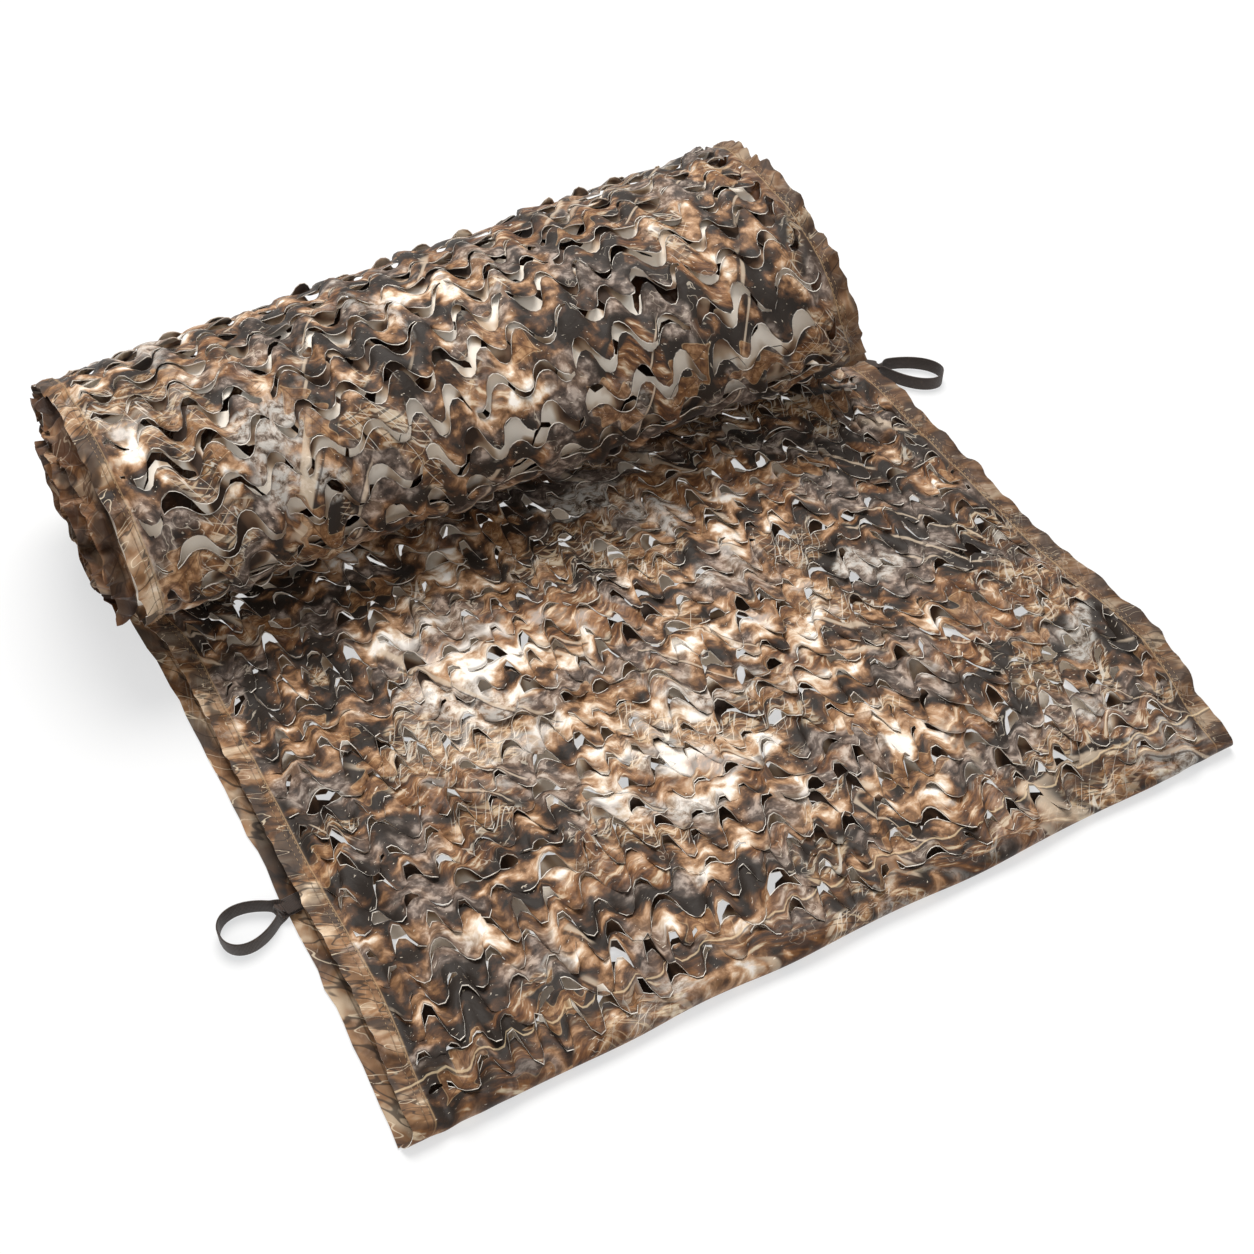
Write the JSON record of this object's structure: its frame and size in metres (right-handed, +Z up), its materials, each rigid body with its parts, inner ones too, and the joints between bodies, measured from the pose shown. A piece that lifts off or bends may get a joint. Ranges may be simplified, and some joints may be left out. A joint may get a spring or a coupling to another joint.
{
  "type": "camouflage net",
  "caption": "Leaf-cut cloth net with hemmed edges and ribbon loops, folded double, rolled up from one end with its last stretch left lying open.",
  "frame": {"origin": "middle of the footprint, at the level of the ground that the net lies on", "axes": "+X along the roll, +Y from the fold at the front edge of the open stretch towards the roll, +Z up"},
  "size_m": [0.58, 0.52, 0.1487],
  "materials": {
    "net_cloth": "matt polyester cloth, printed in leaf and twig camouflage of tan, brown, rust and grey, off-white back",
    "ribbon": "matt woven dark brown ribbon"
  },
  "bodies": {
    "root": {"net": "net_cloth", "loop_left": "ribbon", "loop_right": "ribbon"}
  },
  "joints": []
}
